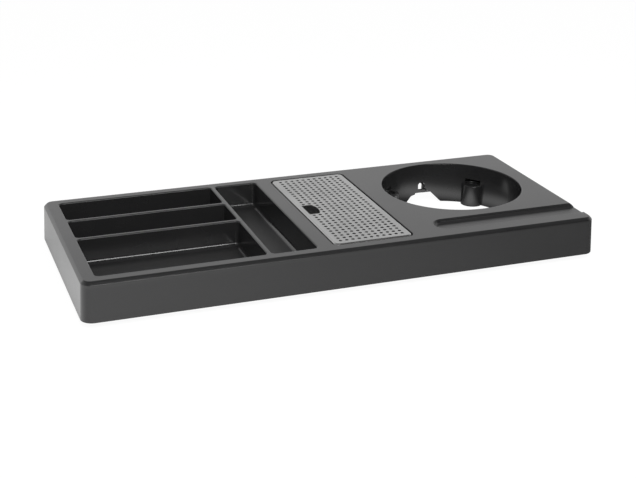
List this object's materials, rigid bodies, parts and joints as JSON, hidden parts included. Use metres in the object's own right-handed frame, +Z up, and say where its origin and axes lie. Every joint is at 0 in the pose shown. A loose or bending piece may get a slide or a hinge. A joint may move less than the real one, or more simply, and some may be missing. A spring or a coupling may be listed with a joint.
{
  "type": "hospitality tray",
  "caption": "Low moulded rectangular tray with open compartments, a lift-out perforated drip grille, a round well for a kettle base, a spoon channel and rubber feet.",
  "frame": {"origin": "centre of the footprint, on the surface the feet stand on", "axes": "+X along the length towards the kettle well, +Y towards the back wall with the cord exit, +Z up"},
  "size_m": [0.48, 0.2082, 0.0413],
  "materials": {
    "body": "satin black moulding",
    "grille": "fine satin stainless sheet",
    "feet": "matt black"
  },
  "bodies": {
    "tray": {"tray_body": "body", "foot_1": "feet", "foot_2": "feet", "foot_3": "feet", "foot_4": "feet", "foot_5": "feet", "foot_6": "feet"},
    "grille": {"drip_grille": "grille"}
  },
  "joints": [
    {"name": "grille_lift", "type": "slide", "parent": "tray", "child": "grille", "axis": [0, 0, 1], "range_m": [0, 0.03]}
  ]
}
